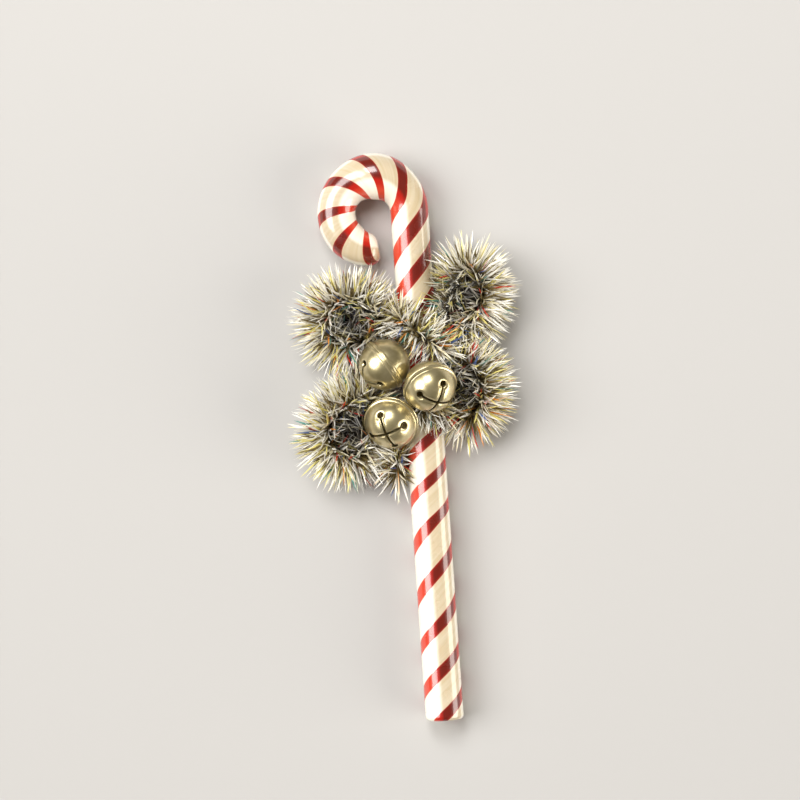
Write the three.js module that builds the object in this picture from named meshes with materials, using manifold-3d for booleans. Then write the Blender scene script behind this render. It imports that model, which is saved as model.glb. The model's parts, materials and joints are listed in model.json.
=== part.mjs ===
// A candy cane dressed with a bow of tinsel garland and three jingle bells, lying on its back.
// Millimetres, +Z up. +Y runs from the foot of the cane to its crook.
// Sizes are laid out from the centre of the crook, on the floor, and the finished model is then
// moved so that its origin is the middle of the underside of its box.
import * as THREE from "three";
import { mergeVertices } from "three/addons/utils/BufferGeometryUtils.js";
import Module from "manifold-3d";

const wasm = await Module();
wasm.setup();

const DEGREE = Math.PI / 180;

// Candy stick
const SHAFT_RADIUS = 6.7;
const SHAFT_LENGTH = 178.9;
const SHAFT_LEAN = 4 * DEGREE;
const CROOK_RADIUS = 12.8;
const CROOK_END = 279.5 * DEGREE;
const CROWN_SWELL = 1.5;
const CROWN_ANGLE = 86 * DEGREE;
const CROWN_SPREAD = 40 * DEGREE;
const TIP_RADIUS = 5.5;
const TIP_TAPER = 55 * DEGREE;
const TIP_ROUNDING = 3;
const FOOT_ROUNDING = 1.6;
const CANE_SIDES = 24;
const SHAFT_RINGS = 6;
const CROOK_RINGS = 30;
const ROUNDING_RINGS = 4;

// Jingle bells
const BELL_RADIUS = 9;
const BELL_WALL = 0.8;
const RIM_HALF_HEIGHT = 1.2;
const RIM_REACH = 0.5;
const RIM_FACE_SHARE = 0.75;
const SLOT_WIDTH = 0.9;
const HOLE_RADIUS = 1.25;
const HOLE_ANGLE = 44 * DEGREE;
const CUT_MARGIN = 1;
const SHANK_RADIUS = 1.5;
const SHANK_WIRE = 0.45;
const BELL_SIDES = 24;
const BELL_INNER_SIDES = 16;
const BELL_RINGS = 6;
const HOLE_SIDES = 10;
const WIRE_SIDES = 6;
const SHANK_SIDES = 12;

// Tinsel garland: a dense core, with locks of foil drawn out of it
const LOCK_LEAN = 0.3;
const LOCK_STEP = 0.5;
const LOCK_SPREAD = 0.16;
const LOCK_CLEARANCE = 0.9;
const HUB_CLEARANCE = 1.6;
const END_TAPER = 0.5;
const LOOP_HEIGHT = 8;

// Gap left between pieces that touch, and the finest detail kept
const GAP = 0.3;
const SLIVER = 0.02;

const UP = new THREE.Vector3(0, 0, 1);

// Each bell's centre, and the way its slotted pole points
const BELLS = {
  bell_upper: { centre: [4.1, -53.2, 17.7], pole: [-0.79, -0.6, 0.12] },
  bell_right: { centre: [19.9, -60.8, 22.8], pole: [0.3, -0.64, 0.71] },
  bell_lower: { centre: [6.4, -73.3, 17.9], pole: [-0.2, -0.46, 0.87] },
};

// Each loop of the bow: its middle, half its width and height, where it is drawn in to the knot,
// and how far its right side stands above its left
const LOOPS = {
  tinsel_upper_left: { middle: [-8.6, -38.2], half: [7.6, 7.6], knot: [2.5, -40.4], rise: 0.8 },
  tinsel_lower_left: { middle: [-8.6, -77.4], half: [7.2, 7.4], knot: [-1.9, -65], rise: -1 },
  tinsel_upper_right: { middle: [33, -28.4], half: [5, 8.4], knot: [27, -40.4], rise: 1.6 },
  tinsel_lower_right: { middle: [33, -62.8], half: [5, 8], knot: [29, -51.4], rise: 1.6 },
};
const LOOP_SIZES = { core: 3.4, lock: 12.6, steps: 30, corners: 26 };
const KNOT_SHARPNESS = 9;

// The strands that arch over the stick: how far below the crook, from which angle to which,
// and their sizes
const ARCHES = {
  tinsel_over_upper: [38.9, 150, 30, { core: 2.6, lock: 9.6, steps: 15, corners: 18 }],
  tinsel_over_lower: [70.2, 98, 30, { core: 1.4, lock: 7, steps: 9, corners: 12 }],
};

// The short end that hangs below the bells
const TAIL_START = [8.4, -83.6, 8];
const TAIL_END = [8.8, -91.4, 6.4];
const TAIL_SIZES = { core: 1.8, lock: 9, steps: 7, corners: 14 };

// Colours
const materialOf = (color, roughness, metalness) =>
  new THREE.MeshStandardMaterial({ color, roughness, metalness });
const candy = materialOf(0xf6ead0, 0.22, 0);
const brass = materialOf(0xaa9c6a, 0.35, 0.9);
const foil = materialOf(0xd9d0ae, 0.3, 0.8);

// A repeatable stream of numbers from 0 to 1
function randomStream(seed) {
  let state = seed;
  return () => {
    state = (state + 0x6d2b79f5) | 0;
    let mixed = Math.imul(state ^ (state >>> 15), 1 | state);
    mixed = (mixed + Math.imul(mixed ^ (mixed >>> 7), 61 | mixed)) ^ mixed;
    return ((mixed ^ (mixed >>> 14)) >>> 0) / 4294967296;
  };
}

// The skin of a row of rings, each a list of the same number of points that runs clockwise as seen
// from the row's start. Its cells are split along diagonals that take turns, so that the corners
// for which ring and side add up to an even number never share an edge. An open row gets end caps.
function skinGeometry(rings, closed) {
  const sides = rings[0].length;
  const points = rings.flat();
  const index = [];
  const spans = closed ? rings.length : rings.length - 1;
  for (let ring = 0; ring < spans; ring++) {
    const here = ring * sides;
    const next = ((ring + 1) % rings.length) * sides;
    for (let side = 0; side < sides; side++) {
      const beside = (side + 1) % sides;
      const [low, high] = (ring + side) % 2 ? [side, beside] : [beside, side];
      index.push(here + side, next + high, here + beside);
      index.push(here + low, next + side, next + beside);
    }
  }
  if (!closed) {
    const last = (rings.length - 1) * sides;
    for (let side = 1; side < sides - 1; side++) {
      index.push(0, side, side + 1);
      index.push(last, last + side + 1, last + side);
    }
  }
  const geometry = new THREE.BufferGeometry().setFromPoints(points);
  geometry.setIndex(index);
  return geometry;
}

// A geometry as a solid that can be joined and cut
function solidOf(geometry) {
  const bare = geometry.clone();
  bare.deleteAttribute("normal");
  bare.deleteAttribute("uv");
  const merged = mergeVertices(bare, 1e-4);
  return new wasm.Manifold(
    new wasm.Mesh({
      numProp: 3,
      vertProperties: new Float32Array(merged.attributes.position.array),
      triVerts: new Uint32Array(merged.index.array),
    }),
  );
}

// A solid as a flat-shaded geometry. Slivers are merged away and loose scraps are dropped.
function geometryOf(solid) {
  const bodies = solid.asOriginal().simplify(SLIVER).decompose();
  const largest = bodies.reduce((best, body) => (body.volume() > best.volume() ? body : best));
  const mesh = largest.getMesh();
  const geometry = new THREE.BufferGeometry();
  geometry.setAttribute("position", new THREE.BufferAttribute(mesh.vertProperties, 3));
  geometry.setIndex(new THREE.BufferAttribute(mesh.triVerts, 1));
  const faceted = geometry.toNonIndexed();
  faceted.computeVertexNormals();
  return faceted;
}

function namedMesh(name, geometry, material) {
  const mesh = new THREE.Mesh(geometry, material);
  mesh.name = name;
  return mesh;
}

// The stick's radius at a turn of the crook: swollen at the crown and drawn thin at the tip
function crookRadius(turn) {
  const swell = CROWN_SWELL * Math.exp(-(((turn - CROWN_ANGLE) / CROWN_SPREAD) ** 2));
  const towardsTip = THREE.MathUtils.smoothstep(turn, CROOK_END - TIP_TAPER, CROOK_END);
  return SHAFT_RADIUS + swell - (SHAFT_RADIUS - TIP_RADIUS) * towardsTip;
}

// How high the stick's axis lies: low enough for its two lowest facets to rest flat on the floor
const axisHeight = (radius) => radius * Math.cos((2 * Math.PI) / CANE_SIDES);

// A point on the shaft's axis, at a distance below the start of the crook
function shaftPoint(below) {
  const start = crookPoint(SHAFT_LEAN);
  return new THREE.Vector2(
    start.x + below * Math.sin(SHAFT_LEAN),
    start.y - below * Math.cos(SHAFT_LEAN),
  );
}

function crookPoint(turn) {
  return new THREE.Vector2(CROOK_RADIUS * Math.cos(turn), CROOK_RADIUS * Math.sin(turn));
}

// One ring of the stick: a circle across its axis, standing upright and flattened where it rests
function caneRing(centre, turn, radius, height) {
  const outward = new THREE.Vector2(Math.cos(turn), Math.sin(turn));
  return Array.from({ length: CANE_SIDES }, (_, side) => {
    const angle = (side / CANE_SIDES) * 2 * Math.PI - Math.PI / 2;
    const across = radius * Math.cos(angle);
    return new THREE.Vector3(
      centre.x + across * outward.x,
      centre.y + across * outward.y,
      Math.max(0, height + radius * Math.sin(angle)),
    );
  });
}

// The rings that round off an end: how far each lies from the end, and how much it is drawn in
function roundingSteps(rounding) {
  return Array.from({ length: ROUNDING_RINGS }, (_, step) => {
    const angle = (step / ROUNDING_RINGS) * (Math.PI / 2);
    return { inset: rounding * (1 - Math.sin(angle)), drawnIn: rounding * (1 - Math.cos(angle)) };
  }).reverse();
}

function caneGeometry() {
  const rings = [];
  const addShaftRing = (below, radius) =>
    rings.push(caneRing(shaftPoint(below), SHAFT_LEAN, radius, axisHeight(SHAFT_RADIUS)));
  for (const { inset, drawnIn } of roundingSteps(FOOT_ROUNDING))
    addShaftRing(SHAFT_LENGTH - (FOOT_ROUNDING - inset), SHAFT_RADIUS - drawnIn);
  for (let ring = 1; ring < SHAFT_RINGS; ring++)
    addShaftRing((SHAFT_LENGTH - FOOT_ROUNDING) * (1 - ring / SHAFT_RINGS), SHAFT_RADIUS);

  const tipTurn = TIP_ROUNDING / CROOK_RADIUS;
  const addCrookRing = (turn, drawnIn) => {
    const radius = crookRadius(turn);
    rings.push(caneRing(crookPoint(turn), turn, radius - drawnIn, axisHeight(radius)));
  };
  for (let ring = 0; ring < CROOK_RINGS; ring++)
    addCrookRing(SHAFT_LEAN + (ring / CROOK_RINGS) * (CROOK_END - tipTurn - SHAFT_LEAN), 0);
  for (const { inset, drawnIn } of roundingSteps(TIP_ROUNDING).reverse())
    addCrookRing(CROOK_END - inset / CROOK_RADIUS, drawnIn);
  return skinGeometry(rings, false);
}

// How far a point is from the surface of the stick
function distanceToCane(point) {
  const foot = shaftPoint(SHAFT_LENGTH);
  const start = shaftPoint(0);
  const plan = new THREE.Vector2(point.x, point.y);
  const run = start.clone().sub(foot);
  const share = THREE.MathUtils.clamp(plan.clone().sub(foot).dot(run) / run.lengthSq(), 0, 1);
  const onShaft = foot.clone().addScaledVector(run, share);
  const aboveShaft = point.z - axisHeight(SHAFT_RADIUS);
  const toShaft = Math.hypot(plan.distanceTo(onShaft), aboveShaft) - SHAFT_RADIUS;

  const turned = (Math.atan2(plan.y, plan.x) + 2 * Math.PI) % (2 * Math.PI);
  const turn = THREE.MathUtils.clamp(turned, SHAFT_LEAN, CROOK_END);
  const radius = crookRadius(turn);
  const aboveCrook = point.z - axisHeight(radius);
  const toCrook = Math.hypot(plan.distanceTo(crookPoint(turn)), aboveCrook) - radius;
  return Math.min(toShaft, toCrook);
}

// Half of a bell's outline, from the shank's pole over the crimped rim to the slotted pole
function bellProfile() {
  const rimAngle = Math.asin(RIM_HALF_HEIGHT / BELL_RADIUS);
  const points = [];
  for (let step = 0; step <= BELL_RINGS; step++) {
    const angle = -Math.PI / 2 + (step / BELL_RINGS) * (Math.PI / 2 - rimAngle);
    points.push([BELL_RADIUS * Math.cos(angle), BELL_RADIUS * Math.sin(angle)]);
  }
  const rim = BELL_RADIUS + RIM_REACH;
  const band = [
    [rim, -RIM_HALF_HEIGHT * RIM_FACE_SHARE],
    [rim, RIM_HALF_HEIGHT * RIM_FACE_SHARE],
  ];
  const mirrored = points.map(([x, y]) => [x, -y]).reverse();
  return [...points, ...band, ...mirrored].map(([x, y]) => new THREE.Vector2(Math.max(0, x), y));
}

// A drill through the wall, at an angle from the slotted pole
function holeCutter(angle) {
  const length = BELL_WALL + 2 * CUT_MARGIN;
  const drill = new THREE.CylinderGeometry(HOLE_RADIUS, HOLE_RADIUS, length, HOLE_SIDES);
  drill.rotateX(Math.PI / 2);
  drill.translate(0, 0, BELL_RADIUS - BELL_WALL / 2);
  drill.rotateY(angle);
  return solidOf(drill);
}

// One slot across the slotted pole with a round hole at each end, turned about that pole
function slotCutter(turnInDegrees) {
  const reach = BELL_RADIUS * Math.sin(HOLE_ANGLE);
  const depth = BELL_RADIUS * (1 - Math.cos(HOLE_ANGLE)) + BELL_WALL + CUT_MARGIN;
  const slot = new THREE.BoxGeometry(2 * reach, SLOT_WIDTH, depth);
  slot.translate(0, 0, BELL_RADIUS + CUT_MARGIN - depth / 2);
  const pieces = [solidOf(slot), holeCutter(HOLE_ANGLE), holeCutter(-HOLE_ANGLE)];
  return wasm.Manifold.union(pieces).rotate([0, 0, turnInDegrees]);
}

// A hollow bell about the origin, with its slotted pole along +Z and its wire shank below
function bellSolid() {
  const outside = new THREE.LatheGeometry(bellProfile(), BELL_SIDES);
  outside.rotateX(Math.PI / 2);
  const innerRadius = BELL_RADIUS - BELL_WALL;
  const inside = new THREE.SphereGeometry(innerRadius, BELL_INNER_SIDES, BELL_INNER_SIDES / 2);
  inside.rotateX(Math.PI / 2);
  const shank = new THREE.TorusGeometry(SHANK_RADIUS, SHANK_WIRE, WIRE_SIDES, SHANK_SIDES);
  shank.rotateX(Math.PI / 2);
  shank.translate(0, 0, -BELL_RADIUS - SHANK_RADIUS / 2);
  const body = solidOf(outside).add(solidOf(shank)).subtract(solidOf(inside));
  return body.subtract(slotCutter(45)).subtract(slotCutter(-45));
}

// Places a bell with its slotted pole along the given way and two of its holes turned upwards
function bellMesh(name, geometry, { centre, pole }) {
  const along = new THREE.Vector3(...pole).normalize();
  const upward = UP.clone().addScaledVector(along, -UP.dot(along)).normalize();
  const basis = new THREE.Matrix4().makeBasis(upward, along.clone().cross(upward), along);
  const mesh = namedMesh(name, geometry, brass);
  mesh.quaternion.setFromRotationMatrix(basis);
  mesh.position.set(...centre);
  return mesh;
}

// How far a point is from the nearest bell, its shank counted as a ball
function distanceToBells(point) {
  const distances = Object.values(BELLS).map(({ centre, pole }) => {
    const middle = new THREE.Vector3(...centre);
    const plainPole = new THREE.Vector3(...pole).normalize().negate();
    const shank = middle.clone().addScaledVector(plainPole, BELL_RADIUS + SHANK_RADIUS / 2);
    const toBody = point.distanceTo(middle) - BELL_RADIUS - RIM_REACH;
    return Math.min(toBody, point.distanceTo(shank) - SHANK_RADIUS - SHANK_WIRE);
  });
  return Math.min(...distances);
}

// A loop of the bow: an oval, drawn out to a point at the knot, with one side standing higher
class BowLoop extends THREE.Curve {
  constructor({ middle, half, knot, rise }) {
    super();
    this.middle = new THREE.Vector2(...middle);
    this.half = new THREE.Vector2(...half);
    this.knot = new THREE.Vector2(...knot);
    this.rise = rise;
  }

  ovalPoint(angle) {
    return new THREE.Vector2(
      this.middle.x + this.half.x * Math.cos(angle),
      this.middle.y + this.half.y * Math.sin(angle),
    );
  }

  getPoint(share, target = new THREE.Vector3()) {
    const toKnot = this.knot.clone().sub(this.middle).angle();
    const angle = toKnot + Math.PI + share * 2 * Math.PI;
    const pull = Math.abs(Math.cos((angle - toKnot) / 2)) ** KNOT_SHARPNESS;
    const drawn = this.knot.clone().sub(this.ovalPoint(toKnot)).multiplyScalar(pull);
    const plan = this.ovalPoint(angle).add(drawn);
    return target.set(plan.x, plan.y, LOOP_HEIGHT + this.rise * Math.cos(angle));
  }
}

// A strand that arches over the stick, between two angles about its axis
class Arch extends THREE.Curve {
  constructor(below, fromDegrees, toDegrees, core) {
    super();
    this.middle = shaftPoint(below);
    this.from = fromDegrees * DEGREE;
    this.to = toDegrees * DEGREE;
    this.reach = SHAFT_RADIUS + GAP + core;
  }

  getPoint(share, target = new THREE.Vector3()) {
    const angle = THREE.MathUtils.lerp(this.from, this.to, share);
    const across = this.reach * Math.cos(angle);
    return target.set(
      this.middle.x + across * Math.cos(SHAFT_LEAN),
      this.middle.y + across * Math.sin(SHAFT_LEAN),
      axisHeight(SHAFT_RADIUS) + this.reach * Math.sin(angle),
    );
  }
}

// Evenly spaced places along a strand, each with its point and three square directions
function strandFrames({ curve, steps, closed }) {
  const count = closed ? steps : steps + 1;
  return Array.from({ length: count }, (_, step) => {
    const share = step / steps;
    const along = curve.getTangentAt(share);
    const side = along.clone().cross(UP).normalize();
    return { point: curve.getPointAt(share), along, side, over: side.clone().cross(along) };
  });
}

const nearest = (samples, point) =>
  Math.min(...samples.map((sample) => sample.distanceTo(point)));

// Whether a point is too near the floor, the stick, a bell, another strand or the open middle
// of its own loop for a lock to reach it
function isTaken(point, strand, others) {
  const own = nearest(strand.samples, point) + 2 * LOCK_CLEARANCE;
  const plan = new THREE.Vector2(point.x, point.y);
  return (
    point.z < GAP ||
    distanceToCane(point) < LOCK_CLEARANCE ||
    distanceToBells(point) < LOCK_CLEARANCE ||
    (strand.hub && strand.hub.distanceTo(plan) < HUB_CLEARANCE) ||
    others.some((other) => nearest(other.samples, point) < own)
  );
}

// The tip of a lock that starts on the core and grows until it is long enough or meets something
function lockTip(base, way, strand, others, wanted) {
  let length = strand.core;
  while (length < wanted) {
    const ahead = base.clone().addScaledVector(way, length + LOCK_STEP);
    if (isTaken(ahead, strand, others)) break;
    length += LOCK_STEP;
  }
  return base.clone().addScaledVector(way, length);
}

// A strand of the garland: a tube that has every other corner drawn out into a lock of foil
function strandMesh(strand, others) {
  const random = randomStream(strand.seed);
  const about = (middle, spread) => middle * (1 + spread * (2 * random() - 1));
  const frames = strandFrames(strand);
  const rings = frames.map(({ point, along, side, over }, place) => {
    const atEnd = !strand.closed && (place === 0 || place === frames.length - 1);
    return Array.from({ length: strand.corners }, (_, corner) => {
      const angle = (corner / strand.corners) * 2 * Math.PI;
      const way = side
        .clone()
        .multiplyScalar(Math.cos(angle))
        .addScaledVector(over, Math.sin(angle));
      if (atEnd) return point.clone().addScaledVector(way, strand.core * END_TAPER);
      if ((place + corner) % 2) return point.clone().addScaledVector(way, strand.core);
      way.addScaledVector(along, LOCK_LEAN * (2 * random() - 1)).normalize();
      return lockTip(point, way, strand, others, about(strand.lock, LOCK_SPREAD));
    });
  });
  return namedMesh(strand.name, geometryOf(solidOf(skinGeometry(rings, strand.closed))), foil);
}

function allStrands() {
  const loops = Object.entries(LOOPS).map(([name, loop]) => ({
    name,
    curve: new BowLoop(loop),
    closed: true,
    hub: new THREE.Vector2(...loop.middle),
    ...LOOP_SIZES,
  }));
  const arches = Object.entries(ARCHES).map(([name, [below, from, to, sizes]]) => ({
    name,
    curve: new Arch(below, from, to, sizes.core),
    closed: false,
    ...sizes,
  }));
  const [start, end] = [TAIL_START, TAIL_END].map((point) => new THREE.Vector3(...point));
  const tail = {
    name: "tinsel_tail",
    curve: new THREE.LineCurve3(start, end),
    closed: false,
    ...TAIL_SIZES,
  };
  return [...loops, ...arches, tail].map((strand, seed) => ({
    ...strand,
    seed,
    samples: strandFrames(strand).map(({ point }) => point),
  }));
}

function dressedCane() {
  const layout = new THREE.Group();
  layout.add(namedMesh("candy_cane", geometryOf(solidOf(caneGeometry())), candy));
  const bell = geometryOf(bellSolid());
  for (const [name, place] of Object.entries(BELLS)) layout.add(bellMesh(name, bell, place));
  const strands = allStrands();
  for (const strand of strands)
    layout.add(strandMesh(strand, strands.filter((other) => other !== strand)));
  return layout;
}

const layout = dressedCane();
const box = new THREE.Box3().setFromObject(layout, true);
const middle = box.getCenter(new THREE.Vector3());
layout.position.set(-middle.x, -middle.y, -box.min.z);

const model = new THREE.Group();
model.add(layout);

export default model;
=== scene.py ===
"""A candy cane with a bow of tinsel garland and three jingle bells, lying on a pale studio floor.

Sizes are millimetres, laid out from the centre of the crook on the floor, as the construction is.
They turn into metres in the row's frame where a mesh is made.
"""

import json
import logging
import math
from collections.abc import Callable, Mapping, Sequence
from dataclasses import dataclass, field, replace
from enum import Enum

import bpy
import numpy as np
from mathutils import Matrix, Vector

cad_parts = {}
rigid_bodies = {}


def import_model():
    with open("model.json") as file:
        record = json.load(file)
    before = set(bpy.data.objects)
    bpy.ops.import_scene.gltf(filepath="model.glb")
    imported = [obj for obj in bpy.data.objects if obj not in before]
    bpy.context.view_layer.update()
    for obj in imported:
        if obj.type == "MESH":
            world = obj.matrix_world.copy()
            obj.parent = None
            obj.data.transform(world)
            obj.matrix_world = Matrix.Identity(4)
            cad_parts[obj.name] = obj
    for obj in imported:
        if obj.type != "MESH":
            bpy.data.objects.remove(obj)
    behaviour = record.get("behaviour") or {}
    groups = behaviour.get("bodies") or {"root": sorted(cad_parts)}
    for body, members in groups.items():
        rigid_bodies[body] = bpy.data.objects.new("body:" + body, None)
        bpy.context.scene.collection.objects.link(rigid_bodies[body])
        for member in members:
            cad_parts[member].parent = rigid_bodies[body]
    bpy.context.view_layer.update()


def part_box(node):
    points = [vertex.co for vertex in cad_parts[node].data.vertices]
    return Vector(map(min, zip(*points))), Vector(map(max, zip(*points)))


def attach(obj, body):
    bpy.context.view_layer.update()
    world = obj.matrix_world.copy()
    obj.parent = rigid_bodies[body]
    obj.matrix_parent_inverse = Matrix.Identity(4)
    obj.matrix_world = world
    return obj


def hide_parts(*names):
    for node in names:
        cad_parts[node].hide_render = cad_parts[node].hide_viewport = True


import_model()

MM = 0.001
FULL_TURN = 2 * math.pi
QUARTER_LAP = 0.25
UPWARD = (0.0, 0.0, 1.0)
UNDERCOAT_FROM = 0.645  # Filaments with a tint past this share are short and dull, standing in for shade.
Colour = tuple[float, float, float, float]
Triple = tuple[float, float, float]
Pair = tuple[float, float]
Face = tuple[int, ...]

log = logging.getLogger("candy_cane")


# Writing node trees


def srgb(red: int, green: int, blue: int) -> Colour:
    """Turns a colour as seen on a screen into the linear colour that shaders use.

    Args:
        red: Red, 0 to 255.
        green: Green, 0 to 255.
        blue: Blue, 0 to 255.

    Returns:
        The linear colour with full alpha.
    """
    shares = (channel / 255 for channel in (red, green, blue))
    linear = (c / 12.92 if c <= 0.04045 else ((c + 0.055) / 1.055) ** 2.4 for c in shares)
    return (*linear, 1.0)


@dataclass(frozen=True)
class Wire:
    """A node's output that adds Math nodes when it is used in an expression."""

    sheet: "NodeSheet"
    socket: bpy.types.NodeSocket

    def math(self, operation: str, *terms: object) -> "Wire":
        """Feeds this value and more terms to one Math node.

        Args:
            operation: The Math node's operation.
            terms: The further inputs, numbers or wires.

        Returns:
            The node's result.
        """
        sockets = dict(enumerate((self, *terms)))
        return self.sheet.node("ShaderNodeMath", {"operation": operation}, sockets)[0]

    def vector(self, operation: str, *terms: object) -> "Wire":
        """Feeds this vector and more terms to one Vector Math node.

        Args:
            operation: The Vector Math node's operation.
            terms: The further inputs, vectors or wires. A scale is given as a number or wire.

        Returns:
            The resulting vector.
        """
        sockets = {0: self, **{place + 1: term for place, term in enumerate(terms)}}
        if operation == "SCALE":
            sockets = {0: self, "Scale": terms[0]}
        return self.sheet.node("ShaderNodeVectorMath", {"operation": operation}, sockets)[0]

    def __add__(self, other: object) -> "Wire":
        """Adds."""
        return self.math("ADD", other)

    __radd__ = __add__

    def __sub__(self, other: object) -> "Wire":
        """Subtracts."""
        return self.math("SUBTRACT", other)

    def __rsub__(self, other: float) -> "Wire":
        """Subtracts this value from a number."""
        return self.math("MULTIPLY", -1.0) + other

    def __mul__(self, other: object) -> "Wire":
        """Multiplies."""
        return self.math("MULTIPLY", other)

    __rmul__ = __mul__

    def fraction(self) -> "Wire":
        """Keeps what follows the whole number."""
        return self.math("FRACT")

    def size(self) -> "Wire":
        """Drops the sign."""
        return self.math("ABSOLUTE")

    def least(self, other: object) -> "Wire":
        """Takes the smaller of two values."""
        return self.math("MINIMUM", other)

    def step(self, start: object, end: object) -> "Wire":
        """Rises smoothly from 0 at start to 1 at end.

        Args:
            start: The value that gives 0, a number or wire.
            end: The value that gives 1.

        Returns:
            The smoothed share.
        """
        sockets = {"Value": self, "From Min": start, "From Max": end}
        settings = {"interpolation_type": "SMOOTHSTEP"}
        return self.sheet.node("ShaderNodeMapRange", settings, sockets)[0]


class Outputs:
    """The outputs of one node, by number or by name."""

    def __init__(self, sheet: "NodeSheet", node: bpy.types.Node) -> None:
        """Keeps the node and the sheet that it stands on."""
        self.sheet = sheet
        self.node = node

    def __getitem__(self, key: int | str) -> Wire:
        """Gives one output.

        Args:
            key: The output's number, or the name of an enabled one.

        Returns:
            A wire from it.
        """
        if isinstance(key, int):
            return Wire(self.sheet, self.node.outputs[key])
        named = [socket for socket in self.node.outputs if socket.name == key and socket.enabled]
        return Wire(self.sheet, named[0])


@dataclass(frozen=True)
class Ramp:
    """The stops of a colour ramp, and how the colour goes from one to the next."""

    stops: tuple[tuple[float, Colour], ...]
    between: str = "CONSTANT"

    def fill(self, ramp: bpy.types.ColorRamp) -> None:
        """Gives a node's own ramp these stops.

        Args:
            ramp: The node's ramp.
        """
        ramp.interpolation = self.between
        while len(ramp.elements) < len(self.stops):
            ramp.elements.new(1.0)
        for element, (place, colour) in zip(ramp.elements, self.stops):
            element.position = place
            element.color = colour


class NodeSheet:
    """A node tree that is written as Python calls."""

    def __init__(self, tree: bpy.types.NodeTree) -> None:
        """Starts on a tree, without the nodes that it may hold."""
        self.tree = tree
        tree.nodes.clear()

    def node(
        self,
        kind: str,
        settings: Mapping[str, object] | None = None,
        sockets: Mapping[int | str, object] | None = None,
    ) -> Outputs:
        """Adds a node.

        Args:
            kind: The node's type.
            settings: Its properties, set first.
            sockets: Values or wires for its inputs, by number or name.

        Returns:
            The node's outputs.
        """
        made = self.tree.nodes.new(kind)
        for name, value in (settings or {}).items():
            if isinstance(value, Ramp):
                value.fill(getattr(made, name))
            else:
                setattr(made, name, value)
        for key, value in (sockets or {}).items():
            socket = self._input(made, key)
            if isinstance(value, Wire):
                self.tree.links.new(value.socket, socket)
            else:
                socket.default_value = value
        return Outputs(self, made)

    def mix(self, share: object, first: object, second: object) -> Wire:
        """Mixes two colours.

        Args:
            share: How much of the second shows, 0 to 1.
            first: The first colour or wire.
            second: The second colour or wire.

        Returns:
            The mixed colour.
        """
        sockets = {"Factor": share, "A": first, "B": second}
        return self.node("ShaderNodeMix", {"data_type": "RGBA"}, sockets)["Result"]

    def noise(self, place: Wire, scale: float, detail: float = 2.0) -> Wire:
        """Gives a soft noise from 0 to 1 at a place.

        Args:
            place: The coordinates.
            scale: How many lumps there are to a metre.
            detail: How many finer layers it has.

        Returns:
            The noise's value.
        """
        sockets = {"Vector": place, "Scale": scale, "Detail": detail}
        return self.node("ShaderNodeTexNoise", {}, sockets)[0]

    def place(self) -> Wire:
        """Gives a point's place in its object."""
        return self.node("ShaderNodeTexCoord")["Object"]

    def carried(self, name: str) -> Wire:
        """Reads a value that the mesh carries."""
        return self.node("ShaderNodeAttribute", {"attribute_name": name})["Fac"]

    def bumped(self, height: Wire, strength: float, distance: float) -> Wire:
        """Turns heights into a bumped normal.

        Args:
            height: The height.
            strength: How much of the bump shows.
            distance: What a height of 1 stands for, in millimetres.

        Returns:
            The normal.
        """
        sockets = {"Height": height, "Strength": strength, "Distance": distance * MM}
        return self.node("ShaderNodeBump", {}, sockets)[0]

    @staticmethod
    def _input(node: bpy.types.Node, key: int | str) -> bpy.types.NodeSocket:
        """Finds an enabled input by number or name."""
        if isinstance(key, int):
            return node.inputs[key]
        return next(socket for socket in node.inputs if socket.name == key and socket.enabled)


class Finish:
    """What every surface finish has: a name, and a shader that it sets up once."""

    name: str
    fixed: Mapping[str, object]

    def varied(self, sheet: NodeSheet) -> Mapping[str, Wire]:
        """Gives the shader inputs that change over the surface.

        Args:
            sheet: The material's node tree.

        Returns:
            A wire for each varied input, by its name.
        """
        raise NotImplementedError

    def material(self) -> bpy.types.Material:
        """Makes the finish's material.

        Returns:
            The new material.
        """
        made = bpy.data.materials.new(self.name)
        made.use_nodes = True
        sheet = NodeSheet(made.node_tree)
        sockets = {**self.fixed, **self.varied(sheet)}
        shader = sheet.node("ShaderNodeBsdfPrincipled", {}, sockets)
        sheet.node("ShaderNodeOutputMaterial", {}, {"Surface": shader[0]})
        return made


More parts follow.
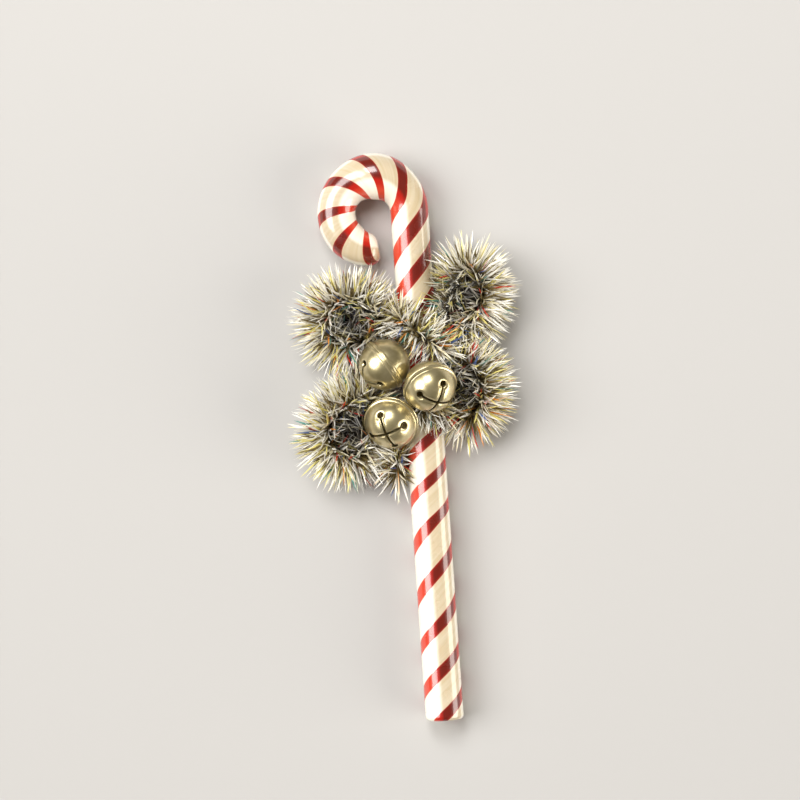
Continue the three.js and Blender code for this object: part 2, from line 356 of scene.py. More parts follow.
@dataclass(frozen=True)
class PulledSugar(Finish):
    """Glossy cream-white sugar with red spiral stripes that bleed a little at their edges.

    Along the stick's outer flank, painted shade turns the ground tan and the red deep.
    Along its inner flank, painted light makes the red bright.
    """

    name: str = "pulled_sugar"
    white: Colour = srgb(250, 244, 230)
    cream: Colour = srgb(243, 232, 206)
    painted_shade_tan: Colour = srgb(194, 172, 132)
    blush: Colour = srgb(246, 186, 156)
    red: Colour = srgb(190, 28, 14)
    painted_light_red: Colour = srgb(230, 78, 50)
    streak_and_shade_red: Colour = srgb(108, 24, 12)
    starts: int = 2
    stripe_half: float = 0.16
    edge: float = 0.012
    bleed: float = 0.03
    waver: float = 0.02
    waver_scale: float = 90.0
    cloud_scale: float = 140.0
    lump_scale: float = 260.0
    grain_scale: float = 900.0
    strand_scale: Pair = (9.0, 0.7)
    heart_from: float = 0.5
    painted_shade_flank: Pair = (-0.25, 0.0)
    outer_rim: Pair = (0.8, 0.92)
    painted_shade_rise: Pair = (0.0, 0.3)
    painted_light_flank: Pair = (-0.6, -0.25)
    painted_light_rise: Pair = (-0.95, -0.3)
    cream_strands: Pair = (0.4, 0.75)
    cream_share: float = 0.5
    blush_share: float = 0.45
    painted_light_share: float = 0.7
    painted_shade_red_share: float = 0.6
    painted_shade_in_heart: float = 0.3
    deep_in_strands: float = 0.2
    roughness: float = 0.2
    cloud_roughness: float = 0.12
    cut_roughness: float = 0.3
    coat: float = 0.8
    coat_lost_in_grain: float = 0.25
    coat_lost_at_cut: float = 0.9
    strand_height: float = 0.4
    grain_height: float = 0.1
    stripe_height: float = 0.25
    bump: Pair = (0.35, 0.12)
    fixed: Mapping[str, object] = field(
        default_factory=lambda: {
            "IOR": 1.5,
            "Subsurface Weight": 0.1,
            "Subsurface Radius": (1.0, 0.45, 0.3),
            "Subsurface Scale": 1.5 * MM,
            "Coat IOR": 1.7,
            "Coat Roughness": 0.06,
        }
    )

    def stripes(self, sheet: NodeSheet, phase: Wire, skin: Wire) -> tuple[Wire, Wire, Wire]:
        """Finds the stripes in the spiral.

        Args:
            sheet: The material's node tree.
            phase: The spiral's phase, whole in the middle of each stripe.
            skin: 1 on the stick's skin and 0 where the bare sugar is cut.

        Returns:
            The masks of the stripes, of the blush that reaches past them, and of their hearts.
        """
        off_centre = ((phase + 0.5).fraction() - 0.5).size()
        half = sheet.carried("breadth") * self.stripe_half
        band = 1 - off_centre.step(half - self.edge, half + self.edge)
        near = 1 - off_centre.step(half, half + self.bleed)
        heart = 1 - off_centre.step(half * self.heart_from, half)
        return band * skin, near * skin, heart

    def painted_shade_and_light_flanks(self, sheet: NodeSheet) -> tuple[Wire, Wire]:
        """Finds where painted shade and light go, by how far a point faces outward and upward.

        Args:
            sheet: The material's node tree.

        Returns:
            The masks of the outer flank, short of its rim, which gets painted shade, and of the
            inner flank, which gets painted light.
        """
        outward, upward = sheet.carried("outward"), sheet.carried("upward")
        short_of_rim = 1 - outward.step(*self.outer_rim)
        outer = outward.step(*self.painted_shade_flank) * short_of_rim * upward.step(*self.painted_shade_rise)
        inner = (1 - outward.step(*self.painted_light_flank)) * upward.step(*self.painted_light_rise)
        return outer, inner

    def varied(self, sheet: NodeSheet) -> Mapping[str, Wire]:
        """Paints the stripes along the wrap map, whose u goes once round the stick and whose v
        counts stripes.

        Args:
            sheet: The material's node tree.

        Returns:
            The varied inputs.
        """
        place = sheet.place()
        wrap = sheet.node("ShaderNodeUVMap", {"uv_map": "wrap"})[0]
        axes = sheet.node("ShaderNodeSeparateXYZ", {}, {0: wrap})
        waver = (sheet.noise(place, self.waver_scale) - 0.5) * self.waver
        phase = axes[0] * float(self.starts) + axes[1] + waver
        cut = sheet.carried("cut")
        striped, near, heart = self.stripes(sheet, phase, 1 - cut)
        outer, inner = self.painted_shade_and_light_flanks(sheet)

        across, along = self.strand_scale
        pulled = sheet.node("ShaderNodeCombineXYZ", {}, {0: phase * across, 1: axes[1] * along})[0]
        strands = sheet.noise(pulled, 1.0, 3.0)
        creamed = strands.step(*self.cream_strands) * self.cream_share
        pale = sheet.mix(creamed, self.white, self.cream)
        # Painted shade: the outer flank's ground is darkened to tan, in streaks.
        painted_shade = outer * (strands * 0.5 + 0.5) * (1 - cut)
        shaded_ground = sheet.mix(painted_shade, pale, self.painted_shade_tan)
        ground = sheet.mix(near * self.blush_share, shaded_ground, self.blush)
        # Painted light: the red is brightened on the inner flank.
        red_with_painted_light = sheet.mix(inner * self.painted_light_share, self.red, self.painted_light_red)
        # Painted shade: the red is deepened on the outer flank, most in the stripes' hearts; the
        # strands add real darker streaks everywhere.
        flank_shade_red = outer * (heart * self.painted_shade_in_heart + self.painted_shade_red_share)
        depth = (strands * self.deep_in_strands + flank_shade_red).least(1.0)
        stripe = sheet.mix(depth, red_with_painted_light, self.streak_and_shade_red)

        cloud = sheet.noise(place, self.cloud_scale, 3.0)
        grain = sheet.noise(place, self.grain_scale)
        lumps = sheet.noise(place, self.lump_scale) * (cut + 0.5)
        height = lumps + strands * self.strand_height + grain * self.grain_height
        coated = self.coat - grain * self.coat_lost_in_grain
        return {
            "Base Color": sheet.mix(striped, ground, stripe),
            "Roughness": self.roughness + cloud * self.cloud_roughness + cut * self.cut_roughness,
            "Coat Weight": coated * (1 - cut * self.coat_lost_at_cut),
            "Normal": sheet.bumped(height + striped * self.stripe_height, *self.bump),
        }


@dataclass(frozen=True)
class SatinGold(Finish):
    """Satin champagne-gold plating with a faint brushed haze and duller patches."""

    name: str = "satin_gold"
    bright: Colour = srgb(206, 192, 148)
    dull: Colour = srgb(176, 162, 118)
    cloud_scale: float = 220.0
    speck_scale: float = 2600.0
    dulling: Pair = (0.35, 0.75)
    roughness: float = 0.22
    cloud_roughness: float = 0.12
    speck_roughness: float = 0.05
    bump: Pair = (0.12, 0.05)
    fixed: Mapping[str, object] = field(
        default_factory=lambda: {"Metallic": 0.85, "Coat Weight": 1.0, "Coat Roughness": 0.12}
    )

    def varied(self, sheet: NodeSheet) -> Mapping[str, Wire]:
        """Clouds the plating.

        Args:
            sheet: The material's node tree.

        Returns:
            The varied inputs.
        """
        place = sheet.place()
        cloud = sheet.noise(place, self.cloud_scale, 4.0)
        specks = sheet.noise(place, self.speck_scale, 1.0)
        hazed = self.roughness + cloud * self.cloud_roughness
        return {
            "Base Color": sheet.mix(cloud.step(*self.dulling), self.bright, self.dull),
            "Roughness": hazed + specks * self.speck_roughness,
            "Normal": sheet.bumped(specks, *self.bump),
        }


@dataclass(frozen=True)
class CutFoil(Finish):
    """Foil filaments, each of one tint, with painted shade towards the root that the twine holds.

    Most are silver or pale gold and a few are coloured. The last tint is the dull undercoat's,
    a dark olive on shorter filaments that stands in for the shade between the bright ones.
    """

    name: str = "cut_foil"
    tints: Ramp = Ramp(
        (
            (0.0, srgb(255, 253, 246)),
            (0.36, srgb(246, 238, 208)),
            (0.52, srgb(240, 228, 140)),
            (0.6, srgb(84, 150, 140)),
            (0.612, srgb(214, 60, 44)),
            (0.624, srgb(236, 150, 60)),
            (0.636, srgb(90, 116, 176)),
            # The undercoat's dull olive stands in for shade between the bright filaments.
            (UNDERCOAT_FROM, srgb(116, 100, 60)),
        )
    )
    painted_root_shade: Colour = srgb(112, 98, 62)
    painted_hub_shade: Colour = srgb(38, 29, 26)
    root_shade_reach: Pair = (0.0, 0.4)
    roughness: float = 0.3
    tint_roughness: float = 0.15
    fixed: Mapping[str, object] = field(default_factory=lambda: {"Metallic": 0.15})

    def varied(self, sheet: NodeSheet) -> Mapping[str, Wire]:
        """Tints each filament by its own attribute, with painted shade at its root and inside a
        loop.

        Args:
            sheet: The material's node tree.

        Returns:
            The varied inputs.
        """
        tint, reach, shade = (sheet.carried(name) for name in ("tint", "reach", "shade"))
        ramp = sheet.node("ShaderNodeValToRGB", {"color_ramp": self.tints}, {"Fac": tint})
        # Painted shade: each filament darkens towards its root.
        shaded_at_root = sheet.mix(reach.step(*self.root_shade_reach), self.painted_root_shade, ramp["Color"])
        return {
            # Painted shade inside a loop darkens the filament towards a near-black brown.
            "Base Color": sheet.mix(shade, shaded_at_root, self.painted_hub_shade),
            "Roughness": self.roughness + tint * self.tint_roughness,
        }


@dataclass(frozen=True)
class DarkTwine(Finish):
    """The dull dark twine that grips the foil."""

    name: str = "dark_twine"
    light: Colour = srgb(96, 84, 62)
    dark: Colour = srgb(44, 36, 30)
    fibre_scale: float = 1400.0
    fibre_shares: Pair = (0.3, 0.7)
    fixed: Mapping[str, object] = field(default_factory=lambda: {"Roughness": 0.8})

    def varied(self, sheet: NodeSheet) -> Mapping[str, Wire]:
        """Mottles the fibres.

        Args:
            sheet: The material's node tree.

        Returns:
            The varied inputs.
        """
        place = sheet.place()
        fibres = sheet.noise(place, self.fibre_scale, 3.0)
        return {"Base Color": sheet.mix(fibres.step(*self.fibre_shares), self.dark, self.light)}


# Making meshes


def put(name: str, data: bpy.types.ID) -> bpy.types.Object:
    """Puts a mesh, light or camera in the scene.

    Args:
        name: The name of its object.
        data: What the object shows.

    Returns:
        The new object.
    """
    made = bpy.data.objects.new(name, data)
    bpy.context.scene.collection.objects.link(made)
    return made


def in_frame(points: np.ndarray, origin: Vector) -> np.ndarray:
    """Turns the layout's millimetres into metres in the row's frame.

    Args:
        points: The points.
        origin: The layout's origin in the row's frame.

    Returns:
        The points in the row's frame.
    """
    return points * MM + np.array(origin)


@dataclass
class Skin:
    """A mesh in the making: points in metres, faces, and values that its points carry."""

    points: np.ndarray
    faces: list[Face]
    carried: dict[str, np.ndarray] = field(default_factory=dict)
    wrap: list[Pair] = field(default_factory=list)

    def linked(self, name: str, material: bpy.types.Material | None = None) -> bpy.types.Object:
        """Turns the skin into an object with smooth faces, in the scene.

        Args:
            name: The object's name.
            material: Its material, if it has one.

        Returns:
            The new object.
        """
        mesh = bpy.data.meshes.new(name)
        mesh.from_pydata(self.points.tolist(), [], self.faces)
        for key, values in self.carried.items():
            attribute = mesh.attributes.new(key, "FLOAT", "POINT")
            attribute.data.foreach_set("value", values.astype(np.float32))
        if self.wrap:
            layer = mesh.uv_layers.new(name="wrap")
            layer.data.foreach_set("uv", np.array(self.wrap, np.float32).ravel())
        mesh.shade_smooth()
        if material:
            mesh.materials.append(material)
        return put(name, mesh)


def lofted(rings: np.ndarray, closed: bool) -> list[Face]:
    """Gives the faces between rings that run counter-clockwise about the row's direction.

    Args:
        rings: The points, as ring, side and axis.
        closed: Whether the last ring joins the first. An open row gets flat ends.

    Returns:
        The faces, pointing outwards.
    """
    count, sides = rings.shape[:2]
    faces = []
    for ring in range(count if closed else count - 1):
        here, there = ring * sides, (ring + 1) % count * sides
        for side in range(sides):
            beside = (side + 1) % sides
            faces.append((here + side, here + beside, there + beside, there + side))
    if not closed:
        faces.append(tuple(reversed(range(sides))))
        faces.append(tuple(range((count - 1) * sides, count * sides)))
    return faces


def sides_of(path: np.ndarray, closed: bool) -> tuple[np.ndarray, np.ndarray]:
    """Finds what lies beside and over a path that never runs straight up.

    Args:
        path: The path's points.
        closed: Whether the path joins its own start.

    Returns:
        The directions to the side of the path and over it, at each point.
    """
    if closed:
        ahead = np.roll(path, -1, 0) - np.roll(path, 1, 0)
    else:
        ahead = np.gradient(path, axis=0)
    along = ahead / np.linalg.norm(ahead, axis=1, keepdims=True)
    side = np.cross(along, UPWARD)
    side /= np.linalg.norm(side, axis=1, keepdims=True)
    return side, np.cross(side, along)


def swept(path: np.ndarray, radius: float, sides: int, closed: bool) -> Skin:
    """Sweeps a round section along a path.

    Args:
        path: The path's points.
        radius: The section's radius.
        sides: The section's sides.
        closed: Whether the path joins its own start.

    Returns:
        The tube.
    """
    side, over = sides_of(path, closed)
    angles = np.arange(sides) / sides * FULL_TURN
    across = np.cos(angles)[None, :, None] * side[:, None]
    outward = across - np.sin(angles)[None, :, None] * over[:, None]
    rings = path[:, None] + radius * outward
    return Skin(rings.reshape(-1, 3), lofted(rings, closed))


def square(half: float, height: float) -> Skin:
    """Makes a level square.

    Args:
        half: Half its side, in metres.
        height: How high it lies, in metres.

    Returns:
        The square, facing up.
    """
    ways = ((-1, -1), (1, -1), (1, 1), (-1, 1))
    return Skin(np.array([(x * half, y * half, height) for x, y in ways]), [(0, 1, 2, 3)])


def circle(radius: float, sides: int) -> np.ndarray:
    """Gives the points of a level circle about the origin."""
    angles = np.arange(sides) / sides * FULL_TURN
    return np.stack((np.cos(angles), np.sin(angles), np.zeros(sides)), -1) * radius


def joined(name: str, parts: Sequence[bpy.types.Object]) -> bpy.types.Object:
    """Joins objects into the first one.

    Args:
        name: The joined object's name.
        parts: The objects.

    Returns:
        The joined object.
    """
    with bpy.context.temp_override(
        active_object=parts[0], object=parts[0], selected_editable_objects=list(parts)
    ):
        bpy.ops.object.join()
    parts[0].name = name
    parts[0].data.name = name
    return parts[0]


def settled(thing: bpy.types.Object) -> bpy.types.Object:
    """Turns an object's modifiers into its plain mesh.

    Args:
        thing: The object.

    Returns:
        The same object, with no modifiers left.
    """
    graph = bpy.context.evaluated_depsgraph_get()
    mesh = bpy.data.meshes.new_from_object(thing.evaluated_get(graph), depsgraph=graph)
    mesh.name = thing.name
    thing.modifiers.clear()
    thing.data = mesh
    return thing


def discard(things: Sequence[bpy.types.Object]) -> None:
    """Removes helper objects from the file."""
    for thing in things:
        bpy.data.objects.remove(thing)


# The candy stick


@dataclass(frozen=True)
class Section:
    """One round section of the stick, and how far along the stick it lies."""

    centre: np.ndarray
    turn: float
    radius: float
    height: float
    passed: float
    cut: float = 0.0

    def narrowed(self, share: float) -> "Section":
        """Gives a section of the bare sugar that a cut end shows, inside this one."""
        return replace(self, radius=self.radius * share, cut=1.0)


@dataclass
class CandyCane:
    """A round stick of pulled sugar with its upper end bent into a crook."""

    node: str = "candy_cane"
    shaft_radius: float = 6.7
    shaft_length: float = 178.9
    lean: float = math.radians(4)
    crook_radius: float = 12.8
    crook_end: float = math.radians(279.5)
    crown_swell: float = 1.5
    crown_angle: float = math.radians(86)
    crown_spread: float = math.radians(40)
    tip_radius: float = 5.5
    tip_taper: float = math.radians(55)
    tip_rounding: float = 3.0
    foot_rounding: float = 1.6
    rest_share: float = math.cos(FULL_TURN / 24)
    sides: int = 96
    shaft_rings: int = 140
    crook_rings: int = 180
    rounding_rings: int = 12
    cut_rings: tuple[float, ...] = (0.97, 0.9, 0.7, 0.4, 0.02)
    stripes_at: tuple[float, ...] = (
        *(17.4, 33.1, 51.2, 69.2, 83.7, 97.5, 112.2, 126.9, 141.6),
        *(156.1, 171.2, 186.4, 196.9, 207.4, 217.9, 227.1, 236.2),
    )
    slant_at: tuple[Pair, ...] = (
        *((125.0, 0.15), (148.0, 0.5), (176.0, 0.55), (186.4, 0.85)),
        *((196.9, 0.45), (207.4, 0.0), (217.9, -0.5)),
    )
    breadth_at: tuple[Pair, ...] = (
        *((125.0, 1.0), (148.0, 1.4), (178.0, 1.4), (196.9, 1.1), (210.0, 1.0)),
    )

    def origin(self) -> Vector:
        """Finds the layout's origin from the construction's box.

        Returns:
            The centre of the crook, on the floor, in the row's frame.
        """
        low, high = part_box(self.node)
        reach = self.crook_radius + self.shaft_radius
        return Vector((low.x + reach * MM, high.y - (reach + self.crown_swell) * MM, 0.0))

    def radius_at(self, turn: float) -> float:
        """Gives the stick's radius at a turn of the crook.

        Args:
            turn: The angle about the crook's centre.

        Returns:
            The radius, swollen at the crown and drawn thin at the tip.
        """
        swell = self.crown_swell * math.exp(-(((turn - self.crown_angle) / self.crown_spread) ** 2))
        share = min(1.0, max(0.0, (turn - self.crook_end + self.tip_taper) / self.tip_taper))
        taper = share * share * (3 - 2 * share)
        return self.shaft_radius + swell - (self.shaft_radius - self.tip_radius) * taper

    def shaft_point(self, below: float) -> np.ndarray:
        """Gives a point of the shaft's axis.

        Args:
            below: How far it lies below the start of the crook.

        Returns:
            Its place as seen from above.
        """
        start = self.crook_point(self.lean)
        return start + below * np.array((math.sin(self.lean), -math.cos(self.lean)))

    def crook_point(self, turn: float) -> np.ndarray:
        """Gives a point of the crook's axis as seen from above."""
        return self.crook_radius * np.array((math.cos(turn), math.sin(turn)))

    def axis_height(self, radius: float) -> float:
        """Gives the height of the axis of a stick that lies on the floor."""
        return radius * self.rest_share

    def shaft_section(self, inset: float, drawn_in: float = 0.0) -> Section:
        """Gives a section of the shaft.

        Args:
            inset: How far it lies from the foot.
            drawn_in: How much narrower it is than the shaft.

        Returns:
            The section.
        """
        centre = self.shaft_point(self.shaft_length - inset)
        height = self.axis_height(self.shaft_radius)
        return Section(centre, self.lean, self.shaft_radius - drawn_in, height, inset)

    def crook_section(self, turn: float, drawn_in: float = 0.0) -> Section:
        """Gives a section of the crook.

        Args:
            turn: The angle about the crook's centre.
            drawn_in: How much narrower it is than the crook there.

        Returns:
            The section.
        """
        radius = self.radius_at(turn)
        height = self.axis_height(radius)
        passed = self.shaft_length + (turn - self.lean) * self.crook_radius
        return Section(self.crook_point(turn), turn, radius - drawn_in, height, passed)

    def sections(self) -> list[Section]:
        """Lists the stick's sections from the middle of the foot's cut to that of the tip's.

        Returns:
            The sections in order.
        """
        quarter = [step / self.rounding_rings * math.pi / 2 for step in range(self.rounding_rings)]
        sines = [(math.sin(angle), 1 - math.cos(angle)) for angle in quarter]
        rounded, plain = self.foot_rounding, self.shaft_length - self.foot_rounding
        foot = [
            self.shaft_section(rounded * (1 - sine), rounded * drawn)
            for sine, drawn in reversed(sines)
        ]
        shaft = [
            self.shaft_section(rounded + plain * ring / self.shaft_rings)
            for ring in range(1, self.shaft_rings)
        ]
        inset = self.tip_rounding / self.crook_radius
        start, end = self.lean, self.crook_end - inset
        crook = [
            self.crook_section(start + (end - start) * ring / self.crook_rings)
            for ring in range(self.crook_rings)
        ]
        tip = [
            self.crook_section(end + inset * sine, self.tip_rounding * drawn)
            for sine, drawn in sines
        ]
        foot_cut = [foot[0].narrowed(share) for share in reversed(self.cut_rings)]
        tip_cut = [tip[-1].narrowed(share) for share in self.cut_rings]
        return [*foot_cut, *foot, *shaft, *crook, *tip, *tip_cut]

    def stripes_passed(self, distance: float) -> float:
        """Counts the stripes passed on the way from the foot.

        Args:
            distance: How far along the stick.

        Returns:
            The count, which is whole in the middle of each stripe.
        """
        places = np.array(self.stripes_at)
        if distance < places[0]:
            return (distance - places[0]) / (places[1] - places[0])
        if distance > places[-1]:
            return len(places) - 1 + (distance - places[-1]) / (places[-1] - places[-2])
        return float(np.interp(distance, places, np.arange(len(places))))

    def lap(self, side: float, distance: float) -> float:
        """Gives how far round the stick a side lies, for the stripes' spiral.

        Args:
            side: The share of the way round, counted clockwise from the outer edge.
            distance: How far along the stick, as the spiral runs steeper over the top of the
                shaft's upper end and flatter over that of the crook.

        Returns:
            The share of one lap, counted from the top.
        """
        past_top = side + QUARTER_LAP
        slant = float(np.interp(distance, *zip(*self.slant_at)))
        return past_top + slant * math.sin(past_top * FULL_TURN) / FULL_TURN

    def wrap(self, faces: Sequence[Face], sections: Sequence[Section]) -> list[Pair]:
        """Maps the stick's surface for the stripes.

        Args:
            faces: The stick's faces.
            sections: Its sections.

        Returns:
            For each face's corners, the laps round the stick and the stripes passed.
        """
        passed = [self.stripes_passed(section.passed) for section in sections]
        places = []
        for face in faces:
            on_seam = self.sides - 1 in (corner % self.sides for corner in face)
            for corner in face:
                ring, side = divmod(corner, self.sides)
                round_again = 1 if on_seam and side == 0 and len(face) == 4 else 0
                share = (side + 1) / self.sides + round_again
                places.append((-self.lap(share, sections[ring].passed), passed[ring]))
        return places

    def skin(self) -> Skin:
        """Lofts the stick, and gives its points what its finish reads.

        Returns:
            The stick's skin, which is flat where it rests.
        """
        sections = self.sections()
        angles = np.arange(self.sides) / self.sides * FULL_TURN
        rings = np.zeros((len(sections), self.sides, 3))
        for ring, section in zip(rings, sections):
            across = section.radius * np.cos(angles)
            ring[:, 0] = section.centre[0] + across * math.cos(section.turn)
            ring[:, 1] = section.centre[1] + across * math.sin(section.turn)
            ring[:, 2] = np.maximum(0.0, section.height + section.radius * np.sin(angles))
        rings = in_frame(rings[:, ::-1], self.origin())
        faces = lofted(rings, closed=False)
        places = [section.passed for section in sections]
        carried = {
            "cut": np.repeat([section.cut for section in sections], self.sides),
            "breadth": np.repeat(np.interp(places, *zip(*self.breadth_at)), self.sides),
            "outward": np.tile(np.cos(angles)[::-1], len(sections)),
            "upward": np.tile(np.sin(angles)[::-1], len(sections)),
        }
        return Skin(rings.reshape(-1, 3), faces, carried, self.wrap(faces, sections))

    def build(self, sugar: bpy.types.Material) -> bpy.types.Object:
        """Makes the stick.

        Args:
            sugar: Its material.

        Returns:
            The finished piece.
        """
        stick = self.skin().linked("candy_stick", sugar)
        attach(stick, "root")
        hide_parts(self.node)
        return stick


# The bells


@dataclass(frozen=True)
class BellPlace:
    """Where a bell lies and how it is turned."""

    node: str
    centre: Triple
    pole: Triple


@dataclass
class JingleBells:
    """Round sheet-metal bells with a crimped seam, crossed slots and a wire shank.

    The cutter's reach below its holes and above the shell is given in walls.
    """

    origin: Vector
    places: tuple[BellPlace, ...] = (
        BellPlace("bell_upper", (4.1, -53.2, 17.7), (-0.79, -0.6, 0.12)),
        BellPlace("bell_right", (19.9, -60.8, 22.8), (0.3, -0.64, 0.71)),
        BellPlace("bell_lower", (6.4, -73.3, 17.9), (-0.2, -0.46, 0.87)),
    )
    radius: float = 9.0
    wall: float = 0.8
    rim_half: float = 1.2
    rim_reach: float = 0.55
    rim_shoulder: float = 0.35
    seam_half: float = 0.26
    seam_depth: float = 0.45
    slot_half: float = 0.42
    hole_radius: float = 1.25
    hole_angle: float = math.radians(44)
    lip_width: float = 0.5
    lip_depth: float = 0.3
    cutter_below: float = 3.4
    cutter_above: float = 2.0
    cutter_sides: int = 32
    shank_radius: float = 1.5
    shank_wire: float = 0.45
    shank_steps: int = 36
    shank_sides: int = 14
    sharp_from: float = math.radians(50)
    across: int = 136
    around: int = 160

    def slot_distance(self, points: np.ndarray) -> np.ndarray:
        """Measures how far points of the shell are from the nearest slot or hole.

        Args:
            points: Points about the bell's centre, slotted pole up.

        Returns:
            The distance of each, and zero inside a slot.
        """
        reach = self.radius * math.sin(self.hole_angle)
        depth = self.radius * math.cos(self.hole_angle)
        found = np.full(points.shape[:-1], np.inf)
        for turn in (math.pi / 4, -math.pi / 4):
            along = points[..., 0] * math.cos(turn) + points[..., 1] * math.sin(turn)
            over = points[..., 1] * math.cos(turn) - points[..., 0] * math.sin(turn)
            past_end = np.maximum(0.0, np.abs(along) - reach)
            slot = np.hypot(past_end, np.maximum(0.0, np.abs(over) - self.slot_half))
            end = np.stack((np.abs(along) - reach, over, points[..., 2] - depth), -1)
            hole = np.maximum(0.0, np.linalg.norm(end, axis=-1) - self.hole_radius)
            found = np.minimum(found, np.minimum(slot, hole))
        return np.where(points[..., 2] > 0, found, np.inf)

    def shell(self) -> bpy.types.Object:
        """Makes the hollow shell before its slots are cut.

        Returns:
            The shell about its centre, slotted pole up.
        """
        tilt = (np.arange(self.across) + 0.5) / self.across * math.pi
        spin = np.arange(self.around) / self.around * FULL_TURN
        way = np.stack(
            (
                np.sin(tilt)[:, None] * np.cos(spin),
                np.sin(tilt)[:, None] * np.sin(spin),
                np.broadcast_to(np.cos(tilt)[:, None], (self.across, self.around)),
            ),
            -1,
        )
        off_rim = np.abs(tilt - math.pi / 2) * self.radius
        shoulder = np.clip((self.rim_half - off_rim) / self.rim_shoulder, 0, 1)
        seam = np.clip(1 - off_rim / self.seam_half, 0, 1)
        rim = self.rim_reach * np.sin(shoulder * math.pi / 2) - self.seam_depth * seam
        off_slot = self.slot_distance(way * self.radius)
        lip = self.lip_depth * np.exp(-((off_slot / self.lip_width) ** 2))
        outer = way * (self.radius + rim[:, None] - lip)[..., None]
        inner = way * (self.radius - self.wall)
        faces = [tuple(reversed(face)) for face in lofted(outer, closed=False)]
        turned_in = [tuple(c + outer[..., 0].size for c in reversed(face)) for face in faces]
        points = np.concatenate((outer.reshape(-1, 3), inner.reshape(-1, 3)))
        return Skin(points * MM, faces + turned_in).linked("bell_shell")

    def cutter(self) -> bpy.types.Object:
        """Makes the tool that cuts the crossed slots with their round ends.

        Returns:
            An upright prism, whose ends are squeezed so that they meet the shell as round holes.
        """
        reach = self.radius * math.sin(self.hole_angle)
        squeezed = self.hole_radius * math.cos(self.hole_angle)
        start = math.asin(self.slot_half / self.hole_radius)
        angles = np.linspace(start - math.pi, math.pi - start, self.cutter_sides)
        round_end = (reach + squeezed * np.cos(angles), self.hole_radius * np.sin(angles))
        arm = np.vstack((np.stack(round_end, -1), (self.slot_half, self.slot_half)))
        quarters = [math.radians(45 + 90 * quarter) for quarter in range(4)]
        outline = np.vstack([arm @ np.array(Matrix.Rotation(turn, 2)).T for turn in quarters])
        rings = np.zeros((2, len(outline), 3))
        rings[:, :, :2] = outline
        rings[0, :, 2] = self.radius * math.cos(self.hole_angle) - self.cutter_below * self.wall
        rings[1, :, 2] = self.radius + self.cutter_above * self.wall
        return Skin(rings.reshape(-1, 3) * MM, lofted(rings, closed=False)).linked("cutter")

    def shank(self) -> bpy.types.Object:
        """Makes the shank.

        Returns:
            The wire loop, upright at the plain pole.
        """
        loop = circle(self.shank_radius, self.shank_steps) * MM
        wire = swept(loop, self.shank_wire * MM, self.shank_sides, closed=True)
        wire.points = wire.points[:, (0, 2, 1)] * np.array((1.0, -1.0, 1.0))
        wire.points[:, 2] -= (self.radius + self.shank_radius / 2) * MM
        return wire.linked("shank")

    def pattern(self) -> bpy.types.Mesh:
        """Makes one whole bell about its centre.

        Returns:
            The mesh that each bell copies.
        """
        bell = self.shell()
        tool = self.cutter()
        cut = bell.modifiers.new("slots", "BOOLEAN")
        cut.operation = "DIFFERENCE"
        cut.solver = "EXACT"
        cut.object = tool
        settled(bell)
        discard((tool,))
        whole = joined("bell", (bell, self.shank()))
        whole.data.shade_smooth()
        whole.data.set_sharp_from_angle(angle=self.sharp_from)
        mesh = whole.data
        discard((whole,))
        return mesh

    def build(self, gold: bpy.types.Material) -> list[bpy.types.Object]:
        """Makes the bells.

        Args:
            gold: Their material.

        Returns:
            The finished pieces.
        """
        pattern = self.pattern()
        made = []
        for place in self.places:
            along = Vector(place.pole).normalized()
            up = Vector(UPWARD)
            upward = (up - along * up.dot(along)).normalized()
            turned = Matrix((upward, along.cross(upward), along)).transposed().to_4x4()
            moved = Matrix.Translation(self.origin + Vector(place.centre) * MM)
            mesh = pattern.copy()
            mesh.transform(moved @ turned)
            mesh.materials.append(gold)
            bell = put(place.node + "_metal", mesh)
            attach(bell, "root")
            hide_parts(place.node)
            made.append(bell)
        bpy.data.meshes.remove(pattern)
        return made


# The tinsel


class Curl(Enum):
    """How a filament is bent: how far its tip goes to the side and forward, in widths."""

    STRAIGHT = (0.2, 0.1)
    BOWED = (1.1, -0.4)
    HOOKED = (2.0, 0.6)
    WAVED = (-0.8, 1.2)


@dataclass
class Strand:
    """One strand of garland: its path and how richly it is set with foil.

    A loop has a hub. Its foil points out of the loop and up more than into it, and has painted
    shade inside.
    """

    node: str
    path: Callable[[np.ndarray], np.ndarray]
    count: int
    length: float
    hub: Pair | None = None
    lean: float = 0.45

    @property
    def closed(self) -> bool:
        """Tells whether the strand is a loop."""
        return self.hub is not None

    def points(self, steps: int) -> tuple[np.ndarray, np.ndarray]:
        """Divides the strand evenly.

        Args:
            steps: How many points it gets.

        Returns:
            Each point's share of the way, and the points in the layout's millimetres.
        """
        shares = np.arange(steps) / steps if self.closed else np.linspace(0, 1, steps)
        return shares, self.path(shares)


@dataclass
class BowLoop:
    """The oval path of a loop, drawn out to a point at the knot."""

    middle: Pair
    half: Pair
    knot: Pair
    rise: float
    height: float = 8.0
    sharpness: float = 9.0

    def __call__(self, shares: np.ndarray) -> np.ndarray:
        """Gives points of the path.

        Args:
            shares: Shares of the way round.

        Returns:
            The points, in the layout's millimetres.
        """
        middle, half, knot = (np.array(pair) for pair in (self.middle, self.half, self.knot))
        to_knot = math.atan2(*(knot - middle)[::-1])
        angles = to_knot + math.pi + shares * FULL_TURN
        pull = np.abs(np.cos((angles - to_knot) / 2)) ** self.sharpness
        oval = middle + half * np.stack((np.cos(angles), np.sin(angles)), -1)
        tip = middle + half * np.array((math.cos(to_knot), math.sin(to_knot)))
        plan = oval + (knot - tip) * pull[:, None]
        return np.column_stack((plan, self.height + self.rise * np.cos(angles)))


